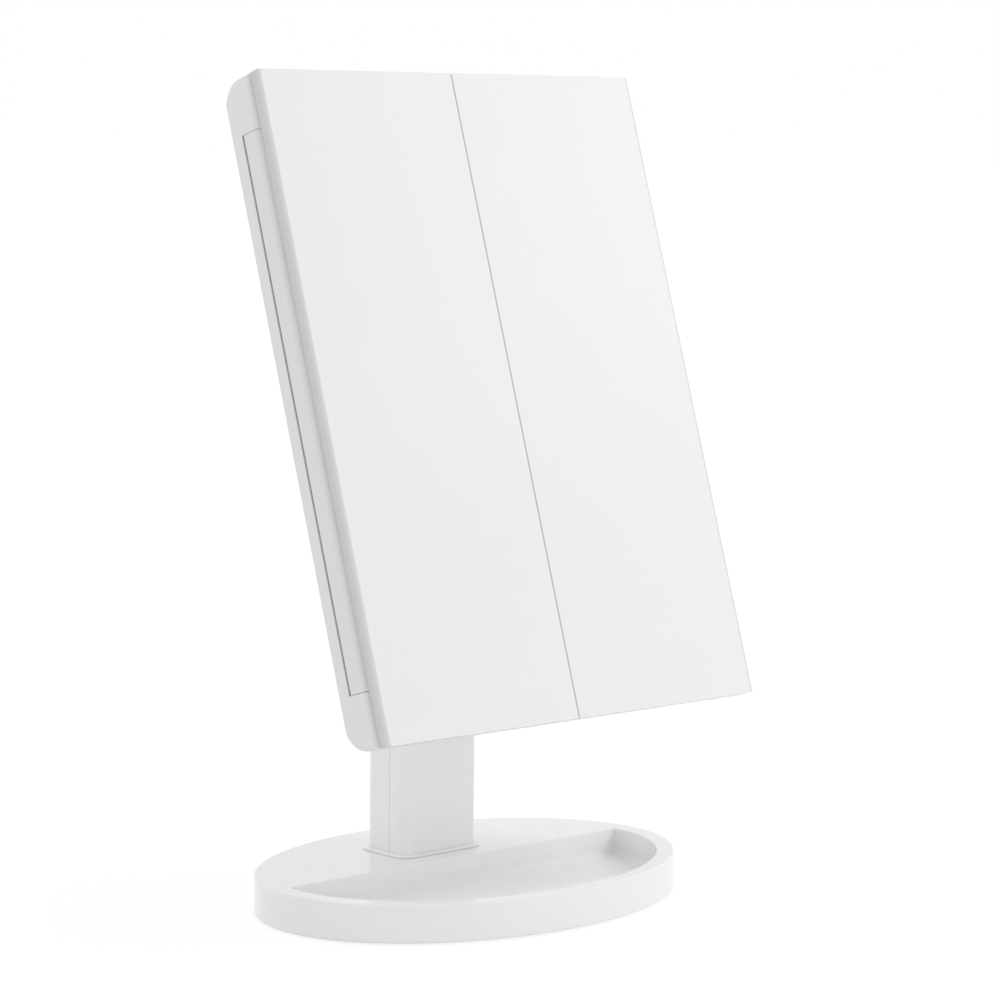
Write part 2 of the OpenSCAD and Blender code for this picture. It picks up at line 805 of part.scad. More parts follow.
module light_diffuser() color([0.98, 0.98, 1]) on_head()
    slab(seat_y - glass_t, glass_t)
        ring2d(lit_x - fit, lit_z - fit, glass_x + fit, glass_z + fit, frame_corner_r, 2 + fit);

module centre_mirror() color(silver) on_head()
    slab(seat_y - glass_t, glass_t) centred(glass_x, glass_z, 2);

module light_tray() color(white) on_head() difference() {
    wall_d = channel_d + over / 2;
    union() {
        slab(sheet_y, tray_sheet) centred(light_tray_x, light_tray_z, frame_corner_r);
        slab(seat_y, wall_d)
            ring2d(light_tray_x, light_tray_z, lit_x - glass_seat, lit_z - glass_seat,
                frame_corner_r, 2);
        slab(seat_y, wall_d)
            ring2d(glass_x + glass_seat, glass_z + glass_seat,
                glass_x + glass_seat - inner_wall, glass_z + glass_seat - inner_wall, 2, 1);
        at_case_screws() bar_y(0, sheet_y - 5, 0, boss_d, 5 + over / 2);
    }
    at_case_screws() bar_y(0, sheet_y - 4, 0, screw_d + 2 * run, case_t);
}

case_screw_l = back_y - 0.2 - sheet_y + 3;

module case_screws() color(steel) on_head() at_case_screws()
    back_screw(0, back_y - 0.2, 0, case_screw_l);

strip_t = 1;
strip_w = 7;
channel_x = (glass_x + lit_x) / 2;
channel_z = (glass_z + lit_z) / 2;
chips_side = 18;
chips_end = 12;
chip_t = 1.4;

module light_strips() color([0.9, 0.9, 0.85]) on_head() slab(sheet_y - strip_t, strip_t) {
    for (s = [-1, 1]) {
        translate([s * channel_x, mid_z]) square([strip_w, 2 * glass_z], center = true);
        translate([0, mid_z + s * channel_z]) square([2 * glass_x, strip_w], center = true);
    }
}

module light_chips() color([1, 0.93, 0.6]) on_head() slab(sheet_y - strip_t - chip_t, chip_t) {
    chip = [2.8, 3.5];
    side_step = 2 * (glass_z - 6) / (chips_side - 1);
    end_step = 2 * (glass_x - 6) / (chips_end - 1);
    for (s = [-1, 1]) {
        for (k = [0:chips_side - 1])
            translate([s * channel_x, mid_z - glass_z + 6 + k * side_step])
                square(chip, center = true);
        for (k = [0:chips_end - 1])
            translate([-glass_x + 6 + k * end_step, mid_z + s * channel_z])
                square(chip, center = true);
    }
}

touch_z = mid_z - glass_z + 16;

module touch_sensor() color([0.1, 0.45, 0.25]) on_head() bar_y(0, seat_y, touch_z, 16, 1);

module control_board() color([0.1, 0.45, 0.25]) on_head() difference() {
    slab(board_y, board_t) rounded(board[0], board[1], board[2], board[3], [1, 1, 1, 1]);
    at_board_screws() bar_y(0, 0, 0, board_screw_d + 2 * run, back_y);
}

module board_screws() color(steel) on_head() at_board_screws()
    translate([0, board_y - board_head_h, 0]) rotate([90, 0, 0])
        screw(board_screw_l + board_head_h, board_screw_d, 2 * board_screw_d, board_head_h);

module usb_socket() color(steel) on_head() difference() {
    shell_t = 0.5;
    length = back_y - 0.3 - board_back_y;
    slab(board_back_y, length) rounded(usb_x - usb_w / 2, usb_x + usb_w / 2,
        part_z - usb_h / 2, part_z + usb_h / 2, [1, 1, 1, 1]);
    slab(board_back_y + over, length) rounded(usb_x - usb_w / 2 + shell_t,
        usb_x + usb_w / 2 - shell_t, part_z - usb_h / 2 + shell_t, part_z + usb_h / 2 - shell_t,
        [0.6, 0.6, 0.6, 0.6]);
}

switch_t = 3;
switch_half_w = 4;
switch_half_h = 5;
switch_r = 0.5;
flange_t = 1;

module switch_body() color([0.15, 0.15, 0.16]) on_head() slab(board_back_y, switch_t)
    rounded(switch_x - switch_half_w, switch_x + switch_half_w, part_z - switch_half_h,
        part_z + switch_half_h + slide_travel, [switch_r, switch_r, switch_r, switch_r]);

module power_slider() color([0.2, 0.2, 0.21]) on_head() {
    flange_y = floor_y - air - flange_t;
    nub_out = 1.2;
    slab(flange_y, flange_t) rounded(switch_x - switch_half_w, switch_x + switch_half_w,
        part_z - switch_half_h, part_z + switch_half_h, [switch_r, switch_r, switch_r, switch_r]);
    slab(flange_y, back_y + nub_out - flange_y) rounded(switch_x - nub_w / 2,
        switch_x + nub_w / 2, part_z - nub_h / 2, part_z + nub_h / 2,
        [switch_r, switch_r, switch_r, switch_r]);
}

// Flat leads behind the light tray, each a run of straight pieces through points in X and Z
lead_t = 0.9;
lead_w = 2;
lead_end = bay_low - bay_wall - air - lead_w / 2;
plus_x = 20;
minus_x = 12;
solder_x = board[0] + 4;
plus_z = board[3] - 8;
minus_z = board[2] + 12;
strip_x = light_tray_x - 15;
strip_z = board[3] + 25;
strip_from = [(board[0] + board[1]) / 2, board[3] - 4];
lead_routes = [
    [[solder_x, plus_z], [plus_x, plus_z], [plus_x, lead_end]],
    [[solder_x, minus_z], [minus_x, minus_z], [minus_x, lead_end]],
    [strip_from, [strip_from[0], strip_z], [strip_x, strip_z], [strip_x, mid_z + lit_z]]];

module lead(points) {
    for (k = [0:len(points) - 2]) {
        low = [min(points[k][0], points[k + 1][0]), min(points[k][1], points[k + 1][1])];
        high = [max(points[k][0], points[k + 1][0]), max(points[k][1], points[k + 1][1])];
        translate(low - [lead_w, lead_w] / 2) square(high - low + [lead_w, lead_w]);
    }
}

module leads() color([0.75, 0.1, 0.1]) on_head()
    slab(sheet_back_y, lead_t) for (route = lead_routes) lead(route);

// ---- doors, drawn for the left side ----

door_in = -door_split / 2;
pocket = [hinge_rim - side_x, door_in - leaf_rim, leaf_rim, panel_h - leaf_rim];
frame = [pocket[0] + fit, pocket[1] - fit, pocket[2] + fit, pocket[3] - fit];
window = [frame[0] + door_bar, frame[1] - door_bar, frame[2] + door_bar, frame[3] - door_bar];
door_glass_t = leaf_t - glass_lip - leaf_skin - tape_t;
pocket_r = 2;
window_r = 3;

module leaf_form() intersection() {
    linear_extrude(panel_h)
        rounded(-side_x, door_in, 0, leaf_t, [leaf_edge_r, 0.6, 0.4, 1.4]);
    slab(0, leaf_t)
        rounded(-side_x, door_in, 0, panel_h, [leaf_corner_r, 0.8, 0.8, leaf_corner_r]);
}

// Cross-section of the knuckle: a barrel behind the pin, a strap in front of it and the web
// that joins it to the door
module knuckle_outline() {
    intersection() {
        translate([-pin_x, pin_depth]) circle(knuckle_r);
        translate([-side_x, pin_depth - over]) square([knuckle_t, knuckle_r + 2 * over]);
    }
    rounded(-side_x, knuckle_t - side_x, case_y, pin_depth, [knuckle_edge_r, 0, 0, 0]);
    translate([valley_d - side_x, leaf_t - over])
        square([knuckle_t - valley_d, leaf_gap + over + knuckle_edge_r]);
}

knuckle_low = end_block_h + knuckle_end_gap;
knuckle_high = panel_h - knuckle_low;
press = 0.01;

module door_shell() on_head() difference() {
    union() {
        leaf_form();
        translate([0, 0, knuckle_low]) linear_extrude(knuckle_high - knuckle_low)
            knuckle_outline();
    }
    slab(leaf_skin, leaf_t)
        rounded(pocket[0], pocket[1], pocket[2], pocket[3],
            [pocket_r, pocket_r, pocket_r, pocket_r]);
    for (z = [knuckle_low - over, knuckle_high - pin_grip - air]) translate([-pin_x, pin_depth, z])
        cylinder(d = pin_d + 2 * press, h = pin_grip + air + over);
}

module hinge_pins() on_head() {
    length = pin_reach + knuckle_end_gap + pin_grip;
    for (z = [end_block_h - pin_reach, knuckle_high - pin_grip]) translate([-pin_x, pin_depth, z])
        cylinder(d = pin_d, h = length);
}

// The frame that closes a door's inner side, cut through by the windows given
module door_frame(windows) on_head() slab(leaf_skin, leaf_t - leaf_skin) difference() {
    rounded(frame[0], frame[1], frame[2], frame[3],
        [pocket_r - fit, pocket_r - fit, pocket_r - fit, pocket_r - fit]);
    for (w = windows) rounded(w[0], w[1], w[2], w[3], [window_r, window_r, window_r, window_r]);
}

// A mirror that fills a window
module door_mirror(w) {
    r = window_r - fit;
    on_head() slab(leaf_t - glass_lip - door_glass_t, door_glass_t)
        rounded(w[0] + fit, w[1] - fit, w[2] + fit, w[3] - fit, [r, r, r, r]);
}

module mirror_tape(w) on_head() slab(leaf_skin, tape_t) {
    tape_w = 12;
    inset = 6;
    for (x = [w[0] + inset, w[1] - inset - tape_w])
        translate([x, w[2] + inset]) square([tape_w, w[3] - w[2] - 2 * inset]);
}

window_mid = (window[2] + window[3]) / 2;
middle_bar = 8;
low_window = [window[0], window[1], window[2], window_mid - middle_bar / 2];
high_window = [window[0], window[1], window_mid + middle_bar / 2, window[3]];

module left_door_shell() color(white) door_shell();
module left_door_frame() color(white) door_frame([low_window, high_window]);
module mirror_2x() color(silver) door_mirror(high_window);
module mirror_3x() color(silver) door_mirror(low_window);
module left_mirror_tapes() color([0.2, 0.2, 0.2]) {
    mirror_tape(low_window);
    mirror_tape(high_window);
}
module left_hinge_pins() color(steel) hinge_pins();

module right_door_shell() color(white) mirror([1, 0, 0]) door_shell();
module right_door_frame() color(white) mirror([1, 0, 0]) door_frame([window]);
module right_mirror() color(silver) mirror([1, 0, 0]) door_mirror(window);
module right_mirror_tape() color([0.2, 0.2, 0.2]) mirror([1, 0, 0]) mirror_tape(window);
module right_hinge_pins() color(steel) mirror([1, 0, 0]) hinge_pins();

base_shell();
base_cover();
steel_weight();
rubber_feet();
base_screws();
post_collar();
post_front_shell();
post_rear_shell();
post_core();
core_bolts();
core_nuts();
shell_screws();
hinge_bushes();
rear_case();
hinge_yoke();
yoke_screws();
tilt_axle();
axle_nut();
friction_washers();
axle_caps();
front_frame();
light_diffuser();
centre_mirror();
light_tray();
light_strips();
light_chips();
touch_sensor();
control_board();
board_screws();
usb_socket();
switch_body();
power_slider();
leads();
case_screws();
battery_contacts();
aa_cells();
battery_cover();
left_door_shell();
left_door_frame();
mirror_2x();
mirror_3x();
left_mirror_tapes();
left_hinge_pins();
right_door_shell();
right_door_frame();
right_mirror();
right_mirror_tape();
right_hinge_pins();
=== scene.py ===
# Trifold vanity mirror: its looks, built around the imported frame. Metres throughout.
import math

import bmesh
import bpy
from mathutils import Matrix, Vector


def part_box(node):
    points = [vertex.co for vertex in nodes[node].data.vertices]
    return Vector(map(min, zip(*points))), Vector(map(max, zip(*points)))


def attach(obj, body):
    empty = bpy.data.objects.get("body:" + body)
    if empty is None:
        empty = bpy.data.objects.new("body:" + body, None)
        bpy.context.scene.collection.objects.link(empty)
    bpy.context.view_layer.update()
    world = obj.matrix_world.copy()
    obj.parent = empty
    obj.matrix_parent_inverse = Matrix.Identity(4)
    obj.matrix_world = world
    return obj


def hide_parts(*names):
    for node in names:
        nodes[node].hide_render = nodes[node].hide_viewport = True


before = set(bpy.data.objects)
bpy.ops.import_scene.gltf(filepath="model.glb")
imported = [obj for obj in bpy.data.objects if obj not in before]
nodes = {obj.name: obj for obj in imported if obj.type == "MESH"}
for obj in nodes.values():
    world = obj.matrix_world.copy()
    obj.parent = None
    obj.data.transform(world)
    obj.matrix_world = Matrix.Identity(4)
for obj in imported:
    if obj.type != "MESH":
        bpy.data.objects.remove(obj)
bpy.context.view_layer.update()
scene = bpy.context.scene

# ---- Camera ----
# The photograph looks from the front left, a little above the table, through a long lens.
# Its axis passes beside and above the foot of the stand, so the camera stands off by as much.
azimuth, elevation, roll = math.radians(-41.94), math.radians(6.46), math.radians(0.65)
distance, beside, over = 1.857, 0.018, 0.2221
back = Vector((math.sin(azimuth) * math.cos(elevation),
               -math.cos(azimuth) * math.cos(elevation),
               math.sin(elevation)))
level = (-back).cross(Vector((0, 0, 1))).normalized()
upright = level.cross(-back)
right = math.cos(roll) * level + math.sin(roll) * upright
above = math.cos(roll) * upright - math.sin(roll) * level
lens = bpy.data.cameras.new("camera")
lens.sensor_width = 36
lens.lens = 119.6
lens.clip_end = 100
camera = bpy.data.objects.new("camera", lens)
stand_off = back * distance + right * beside + above * over
camera.matrix_world = (Matrix.Translation(stand_off)
                       @ Matrix((right, above, back)).transposed().to_4x4())
scene.collection.objects.link(camera)
scene.camera = camera
scene.view_settings.view_transform = "Standard"


# ---- Table and studio light ----
# A pale table top runs out to a white background and keeps the soft shadow of the stand.
# The room gives an even light from all round, and four wide lamps model the form a little.
def node_tree(name):
    """A new material with its empty node tree and its output."""
    made = bpy.data.materials.new(name)
    made.use_nodes = True
    made.node_tree.nodes.clear()
    out = made.node_tree.nodes.new("ShaderNodeOutputMaterial")
    return made, made.node_tree, out


def node(tree, kind, sockets=None, **settings):
    """A shader node with its settings and the constants on its own sockets."""
    made = tree.nodes.new("ShaderNode" + kind)
    for name, value in settings.items():
        setattr(made, name, value)
    for name, value in (sockets or {}).items():
        made.inputs[name].default_value = value
    return made


def feed(tree, giver, outlet, taker, inlet):
    """A link from one node's output to another node's input."""
    tree.links.new(giver.outputs[outlet], taker.inputs[inlet])


def looked_at(tree):
    """One where a ray comes from the camera, a mirror or a glass, and nought for light's own."""
    seen = node(tree, "LightPath")
    either = node(tree, "Math", operation="MAXIMUM")
    feed(tree, seen, "Is Camera Ray", either, 0)
    feed(tree, seen, "Is Glossy Ray", either, 1)
    any_way = node(tree, "Math", operation="MAXIMUM")
    feed(tree, either, 0, any_way, 0)
    feed(tree, seen, "Is Transmission Ray", any_way, 1)
    return any_way


def wide_lamp(name, place, aim_height, width, watts):
    data = bpy.data.lights.new(name, "AREA")
    data.size = width
    data.energy = watts
    lamp = bpy.data.objects.new(name, data)
    lamp.location = place
    lamp.visible_glossy = False
    toward = Vector((0, 0, aim_height)) - Vector(place)
    lamp.rotation_euler = toward.to_track_quat("-Z", "Y").to_euler()
    scene.collection.objects.link(lamp)


table_half = 30
table_mesh = bpy.data.meshes.new("table_top")
table_mesh.from_pydata([(-table_half, -table_half, 0), (table_half, -table_half, 0),
                        (table_half, table_half, 0), (-table_half, table_half, 0)], [],
                       [(0, 1, 2, 3)])
table = bpy.data.objects.new("table_top", table_mesh)
scene.collection.objects.link(table)
pale_table, tree, out = node_tree("pale_table")
matt = node(tree, "BsdfDiffuse", {"Color": (0.9, 0.9, 0.9, 1)})
white = node(tree, "Emission", {"Strength": 1.07})
place = node(tree, "TexCoord")
far = node(tree, "VectorMath", operation="LENGTH")
fade = node(tree, "MapRange", {"From Min": 0.15, "From Max": 0.7, "To Min": 0.8},
            interpolation_type="SMOOTHSTEP")
share = node(tree, "Math", operation="MULTIPLY")
both = node(tree, "MixShader")
feed(tree, place, "Object", far, 0)
feed(tree, far, "Value", fade, "Value")
feed(tree, fade, "Result", share, 1)
feed(tree, looked_at(tree), 0, share, 0)
feed(tree, share, 0, both, 0)
feed(tree, matt, 0, both, 1)
feed(tree, white, 0, both, 2)
feed(tree, both, 0, out, "Surface")
table_mesh.materials.append(pale_table)

room = bpy.data.worlds.new("pale_room")
scene.world = room
room.use_nodes = True
tree = room.node_tree
tree.nodes.clear()
out = node(tree, "OutputWorld")
walls = node(tree, "Background", {"Color": (1, 1, 1, 1), "Strength": 0.66})
backdrop = node(tree, "Background", {"Color": (1, 1, 1, 1)})
both = node(tree, "MixShader")
feed(tree, looked_at(tree), 0, both, 0)
feed(tree, walls, 0, both, 1)
feed(tree, backdrop, 0, both, 2)
feed(tree, both, 0, out, "Surface")
wide_lamp("right_front_lamp", (0.85, -0.66, 0.92), aim_height=0.4, width=0.5, watts=3.7)
wide_lamp("front_lamp", (0.1, -2.0, 0.25), aim_height=0.2, width=0.9, watts=4.6)
wide_lamp("left_top_lamp", (-1.36, 0.24, 2.2), aim_height=0.25, width=1.4, watts=5)
wide_lamp("left_back_lamp", (-1.16, 2.0, 0.87), aim_height=0.25, width=1.4, watts=6)


# ---- Base body ----
# One white gloss moulding: an oval block with a tray sunk into its front half.
# Its rims are rolled over and the tray's walls run into the floor in a soft curve.
def ramp(tree, *stops, blend="LINEAR"):
    """A colour ramp through stops of a position and a colour."""
    made = node(tree, "ValToRGB")
    colours = made.color_ramp
    colours.interpolation = blend
    for element, (position, colour) in zip(colours.elements, (stops[0], stops[-1])):
        element.position = position
        element.color = (*colour, 1)
    for position, colour in stops[1:-1]:
        colours.elements.new(position).color = (*colour, 1)
    return made


def moulded(name, pale, deep, rough, skin):
    """A plastic: a faint change of colour, a moulded skin of a set depth and a slow waviness."""
    made, tree, out = node_tree(name)
    shell = node(tree, "BsdfPrincipled")
    place = node(tree, "TexCoord")
    cloud = node(tree, "TexNoise", {"Scale": 14, "Detail": 2})
    tint = ramp(tree, (0.3, deep), (0.7, pale))
    patch = node(tree, "TexNoise", {"Scale": 45, "Detail": 4})
    gloss = node(tree, "MapRange", {"To Min": rough[0], "To Max": rough[1]})
    grain = node(tree, "TexNoise", {"Scale": 1400, "Detail": 3})
    wave = node(tree, "TexNoise", {"Scale": 28, "Detail": 0})
    rough_skin = node(tree, "Bump", {"Strength": 0.5, "Distance": skin})
    slow_wave = node(tree, "Bump", {"Strength": 0.4, "Distance": 0.00001})
    for texture in (cloud, patch, grain, wave):
        feed(tree, place, "Object", texture, "Vector")
    feed(tree, cloud, "Fac", tint, "Fac")
    feed(tree, tint, "Color", shell, "Base Color")
    feed(tree, patch, "Fac", gloss, "Value")
    feed(tree, gloss, "Result", shell, "Roughness")
    feed(tree, wave, "Fac", slow_wave, "Height")
    feed(tree, grain, "Fac", rough_skin, "Height")
    feed(tree, slow_wave, "Normal", rough_skin, "Normal")
    feed(tree, rough_skin, "Normal", shell, "Normal")
    feed(tree, shell, "BSDF", out, "Surface")
    return made


def piece(name, points, faces, finish, body, slot, instead=(), crisp=40):
    """A mesh piece: smooth over its curves, sharp where it turns by more than crisp degrees."""
    shape = bmesh.new()
    corners = [shape.verts.new(point) for point in points]
    for face in faces:
        shape.faces.new([corners[k] for k in face])
    bmesh.ops.recalc_face_normals(shape, faces=shape.faces)
    for edge in shape.edges:
        edge.smooth = not edge.is_manifold or edge.calc_face_angle(0) < math.radians(crisp)
    for face in shape.faces:
        face.smooth = True
    mesh = bpy.data.meshes.new(name)
    shape.to_mesh(mesh)
    shape.free()
    mesh.materials.append(finish)
    made = bpy.data.objects.new(name, mesh)
    scene.collection.objects.link(made)
    made.modifiers.new("flats", "WEIGHTED_NORMAL").keep_sharp = True
    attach(made, body)
    if instead:
        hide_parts(*instead)
    return made


def stack(rings, loop=False):
    """Points and faces of a skin through equal rings, closed at both ends or in a loop."""
    count = len(rings[0])
    points = [point for ring in rings for point in ring]
    faces = []
    for k in range(len(rings) if loop else len(rings) - 1):
        low, high = k * count, (k + 1) % len(rings) * count
        for i in range(count):
            j = (i + 1) % count
            faces.append((low + i, low + j, high + j, high + i))
    if not loop:
        for first in (0, (len(rings) - 1) * count):
            ring = points[first:first + count]
            points.append(tuple(sum(p[k] for p in ring) / count for k in range(3)))
            faces += [(first + i, first + (i + 1) % count, len(points) - 1)
                      for i in range(count)]
    return points, faces


gloss_white = moulded("gloss_white", pale=(0.94, 0.94, 0.943), deep=(0.934, 0.934, 0.938),
                      rough=(0.08, 0.12), skin=0.000004)
low_corner, high_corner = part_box("base_shell")
base_a, base_b, base_top = high_corner.x, high_corner.y, high_corner.z
base_under = low_corner.z
side_rim, front_rim = 0.0115, 0.008
tray_a, tray_b = base_a - side_rim, base_b - front_rim
tray_back, tray_floor = 0.0075, 0.0075
tray_mid_x, tray_mid_y = 0.0, -0.038
corner_soft, rim_r, tray_rim_r, floor_r, under_edge = 0.0007, 0.0011, 0.0007, 0.004, 0.0006
draft, wall = 0.0004, 0.0024
spoke_count, corner_spokes, corner_step = 240, 21, 0.0035
corner_share, least_rise = 0.995, 0.01
corner_turn = math.atan2(tray_back - tray_mid_y, tray_a * corner_share)
spokes = [2 * math.pi * k / spoke_count for k in range(spoke_count)]
for middle_turn in (corner_turn, math.pi - corner_turn):
    spokes += [middle_turn + (k - corner_spokes // 2) * corner_step
               for k in range(corner_spokes)]
spokes.sort()


def reach(turn, a, b):
    """How far a spoke from the tray's middle runs to an oval."""
    dx, dy = math.cos(turn) / a, math.sin(turn) / b
    px, py = tray_mid_x / a, tray_mid_y / b
    half, full = dx * px + dy * py, dx * dx + dy * dy
    return (-half + math.sqrt(half * half - full * (px * px + py * py - 1))) / full


def oval_ring(inset, z):
    """The base's outline drawn in by inset."""
    ring = []
    for turn in spokes:
        run = reach(turn, base_a - inset, base_b - inset)
        ring.append((tray_mid_x + run * math.cos(turn), tray_mid_y + run * math.sin(turn), z))
    return ring


def tray_ring(inset, z, shrink=1.0):
    """The tray's outline drawn in by inset: an oval cut straight across at the back."""
    ring = []
    for turn in spokes:
        run = reach(turn, tray_a - inset, tray_b - inset)
        rise = math.sin(turn)
        if rise > least_rise:
            straight = (tray_back - inset - tray_mid_y) / rise
            run = -corner_soft * math.log(math.exp(-run / corner_soft)
                                          + math.exp(-straight / corner_soft))
        ring.append((tray_mid_x + shrink * run * math.cos(turn),
                     tray_mid_y + shrink * run * math.sin(turn), z))
    return ring


def quarter(steps):
    """The cosine and sine at even steps of a quarter turn."""
    turns = [math.pi / 2 * k / steps for k in range(steps + 1)]
    return [(math.cos(turn), math.sin(turn)) for turn in turns]


rings = [tray_ring(draft + floor_r, tray_floor, shrink) for shrink in (0.35, 0.7)]
rings += [tray_ring(draft + floor_r * (1 - s), tray_floor + floor_r * (1 - c))
          for c, s in quarter(7)]
rings += [tray_ring(-tray_rim_r * (1 - c), base_top - tray_rim_r * (1 - s))
          for c, s in quarter(4)]
rings += [oval_ring(rim_r * (1 - s), base_top - rim_r * (1 - c)) for c, s in quarter(5)]
rings += [oval_ring(0, base_under + under_edge), oval_ring(under_edge, base_under)]
rings += [oval_ring(wall, base_under), oval_ring(wall, base_top - 2 * wall),
          oval_ring(2 * wall, base_top - wall), tray_ring(-wall, base_top - wall),
          tray_ring(-wall, tray_floor - wall / 2), tray_ring(-wall / 2, tray_floor - wall),
          tray_ring(floor_r, tray_floor - wall, 0.5)]
piece("base_body", *stack(rings), gloss_white, "stand", "white_gloss", ["base_shell"])


# ---- Base cover, weight, feet and screws ----
# A flat satin cover closes the base from below over a plain steel weight.
# Countersunk screws hold both, and four soft rubber feet are pressed into the cover.
weld_gap, flat_turn = 0.000004, math.radians(0.3)
gentle_turn, edge_turn = math.radians(32), math.radians(35)
soft_shade = bpy.data.node_groups.new("soft_shade", "GeometryNodeTree")
for side in ("INPUT", "OUTPUT"):
    soft_shade.interface.new_socket("Geometry", in_out=side, socket_type="NodeSocketGeometry")
entry = soft_shade.nodes.new("NodeGroupInput")
faces_smooth = soft_shade.nodes.new("GeometryNodeSetShadeSmooth")
edges_crisp = soft_shade.nodes.new("GeometryNodeSetShadeSmooth")
edges_crisp.domain = "EDGE"
bend = soft_shade.nodes.new("GeometryNodeInputMeshEdgeAngle")
gentle = soft_shade.nodes.new("FunctionNodeCompare")
gentle.operation = "LESS_THAN"
gentle.inputs[1].default_value = gentle_turn
leave = soft_shade.nodes.new("NodeGroupOutput")
feed(soft_shade, entry, 0, faces_smooth, "Geometry")
feed(soft_shade, faces_smooth, 0, edges_crisp, "Geometry")
feed(soft_shade, bend, "Unsigned Angle", gentle, 0)
feed(soft_shade, gentle, 0, edges_crisp, "Shade Smooth")
feed(soft_shade, edges_crisp, 0, leave, 0)


def dress(finish, *names, edge=0.0):
    """Give CAD nodes their finish, an edge rounded by so much, and smooth curves."""
    for name in names:
        made = nodes[name]
        made.data.materials.clear()
        made.data.materials.append(finish)
        made.modifiers.new("weld", "WELD").merge_threshold = weld_gap
        if edge:
            plain = made.modifiers.new("plain", "DECIMATE")
            plain.decimate_type = "DISSOLVE"
            plain.angle_limit = flat_turn
            rounded = made.modifiers.new("edges", "BEVEL")
            rounded.width = edge
            rounded.segments = 3
            rounded.limit_method = "ANGLE"
            rounded.angle_limit = edge_turn
            rounded.miter_outer = "MITER_ARC"
        made.modifiers.new("shade", "NODES").node_group = soft_shade
        made.modifiers.new("flats", "WEIGHTED_NORMAL").keep_sharp = True


def metal(name, colour, rough, stretch=(1, 1, 1)):
    """Bare metal: fine scratches, drawn out along one way, and cloudy changes of shine."""
    made, tree, out = node_tree(name)
    shell = node(tree, "BsdfPrincipled", {"Metallic": 1, "Base Color": (*colour, 1)})
    place = node(tree, "TexCoord")
    along = node(tree, "Mapping", {"Scale": stretch})
    scratch = node(tree, "TexNoise", {"Scale": 900, "Detail": 4})
    cloud = node(tree, "TexNoise", {"Scale": 120})
    shine = node(tree, "MapRange", {"To Min": rough[0], "To Max": rough[1]})
    relief = node(tree, "Bump", {"Strength": 0.4, "Distance": 0.00001})
    feed(tree, place, "Object", along, "Vector")
    feed(tree, along, "Vector", scratch, "Vector")
    feed(tree, place, "Object", cloud, "Vector")
    feed(tree, cloud, "Fac", shine, "Value")
    feed(tree, shine, "Result", shell, "Roughness")
    feed(tree, scratch, "Fac", relief, "Height")
    feed(tree, relief, "Normal", shell, "Normal")
    feed(tree, shell, "BSDF", out, "Surface")
    return made


satin_white = moulded("satin_white", pale=(0.88, 0.88, 0.885), deep=(0.872, 0.872, 0.877),
                      rough=(0.42, 0.5), skin=0.00002)
rolled_steel = metal("rolled_steel", (0.56, 0.57, 0.59), rough=(0.3, 0.45),
                     stretch=(1, 0.08, 1))
nickel = metal("nickel_plate", (0.72, 0.71, 0.69), rough=(0.18, 0.3))
foot_rubber = moulded("foot_rubber", pale=(0.07, 0.07, 0.073), deep=(0.045, 0.045, 0.048),
                      rough=(0.7, 0.85), skin=0.00005)
dress(satin_white, "base_cover", edge=0.0003)
dress(rolled_steel, "steel_weight", edge=0.0004)
dress(foot_rubber, "rubber_feet", edge=0.0005)
dress(nickel, "base_screws", edge=0.00015)


# ---- Post ----
# Two gloss white half shells close round a bent steel core that is bolted to the base.
# The joint between the shells runs down both sides; screws from behind pull them together.
dress(gloss_white, "post_front_shell", "post_rear_shell", edge=0.0003)
dress(rolled_steel, "post_core", edge=0.0003)
dress(nickel, "core_bolts", "core_nuts", "shell_screws", edge=0.0002)


# ---- Post collar ----
# A thin gloss ring hides the joint where the post enters the base.
# Its underside is stepped in, so that it stands on a fine dark line.
def ring_of(half_w, half_d, radius, steps=10):
    """A rectangle with round corners, as points round its middle."""
    ring = []
    for quadrant in range(4):
        sx = 1 if quadrant in (0, 3) else -1
        sy = 1 if quadrant < 2 else -1
        for k in range(steps + 1):
            a = math.pi / 2 * (quadrant + k / steps)
            ring.append((sx * (half_w - radius) + radius * math.cos(a),
                         sy * (half_d - radius) + radius * math.sin(a)))
    return ring


low_corner, high_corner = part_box("post_collar")
collar_w, collar_d = (high_corner.x - low_corner.x) / 2, (high_corner.y - low_corner.y) / 2
collar_y, collar_low = (high_corner.y + low_corner.y) / 2, low_corner.z
post_low, post_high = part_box("post_front_shell")
post_gap, corner_r = 0.00015, 0.0093
collar_rim = collar_w - ((post_high.x - post_low.x) / 2 + post_gap)
foot_step = [(0.0005, 0), (0.0005, 0.0003), (0, 0.00034)]
outer_face = [(0, 0.0009), (0.0001, 0.00118), (0.00028, 0.00138), (0.0005, 0.00148)]
inner_face = [(collar_rim - 0.0002, 0.0015), (collar_rim, 0.0013), (collar_rim, 0)]
rings = []
for inset, height in foot_step + outer_face + inner_face:
    outline = ring_of(collar_w - inset, collar_d - inset, corner_r - inset)
    rings.append([(x, collar_y + y, collar_low + height) for x, y in outline])
piece("collar_ring", *stack(rings, loop=True), gloss_white, "stand", "white_gloss",
      ["post_collar"])


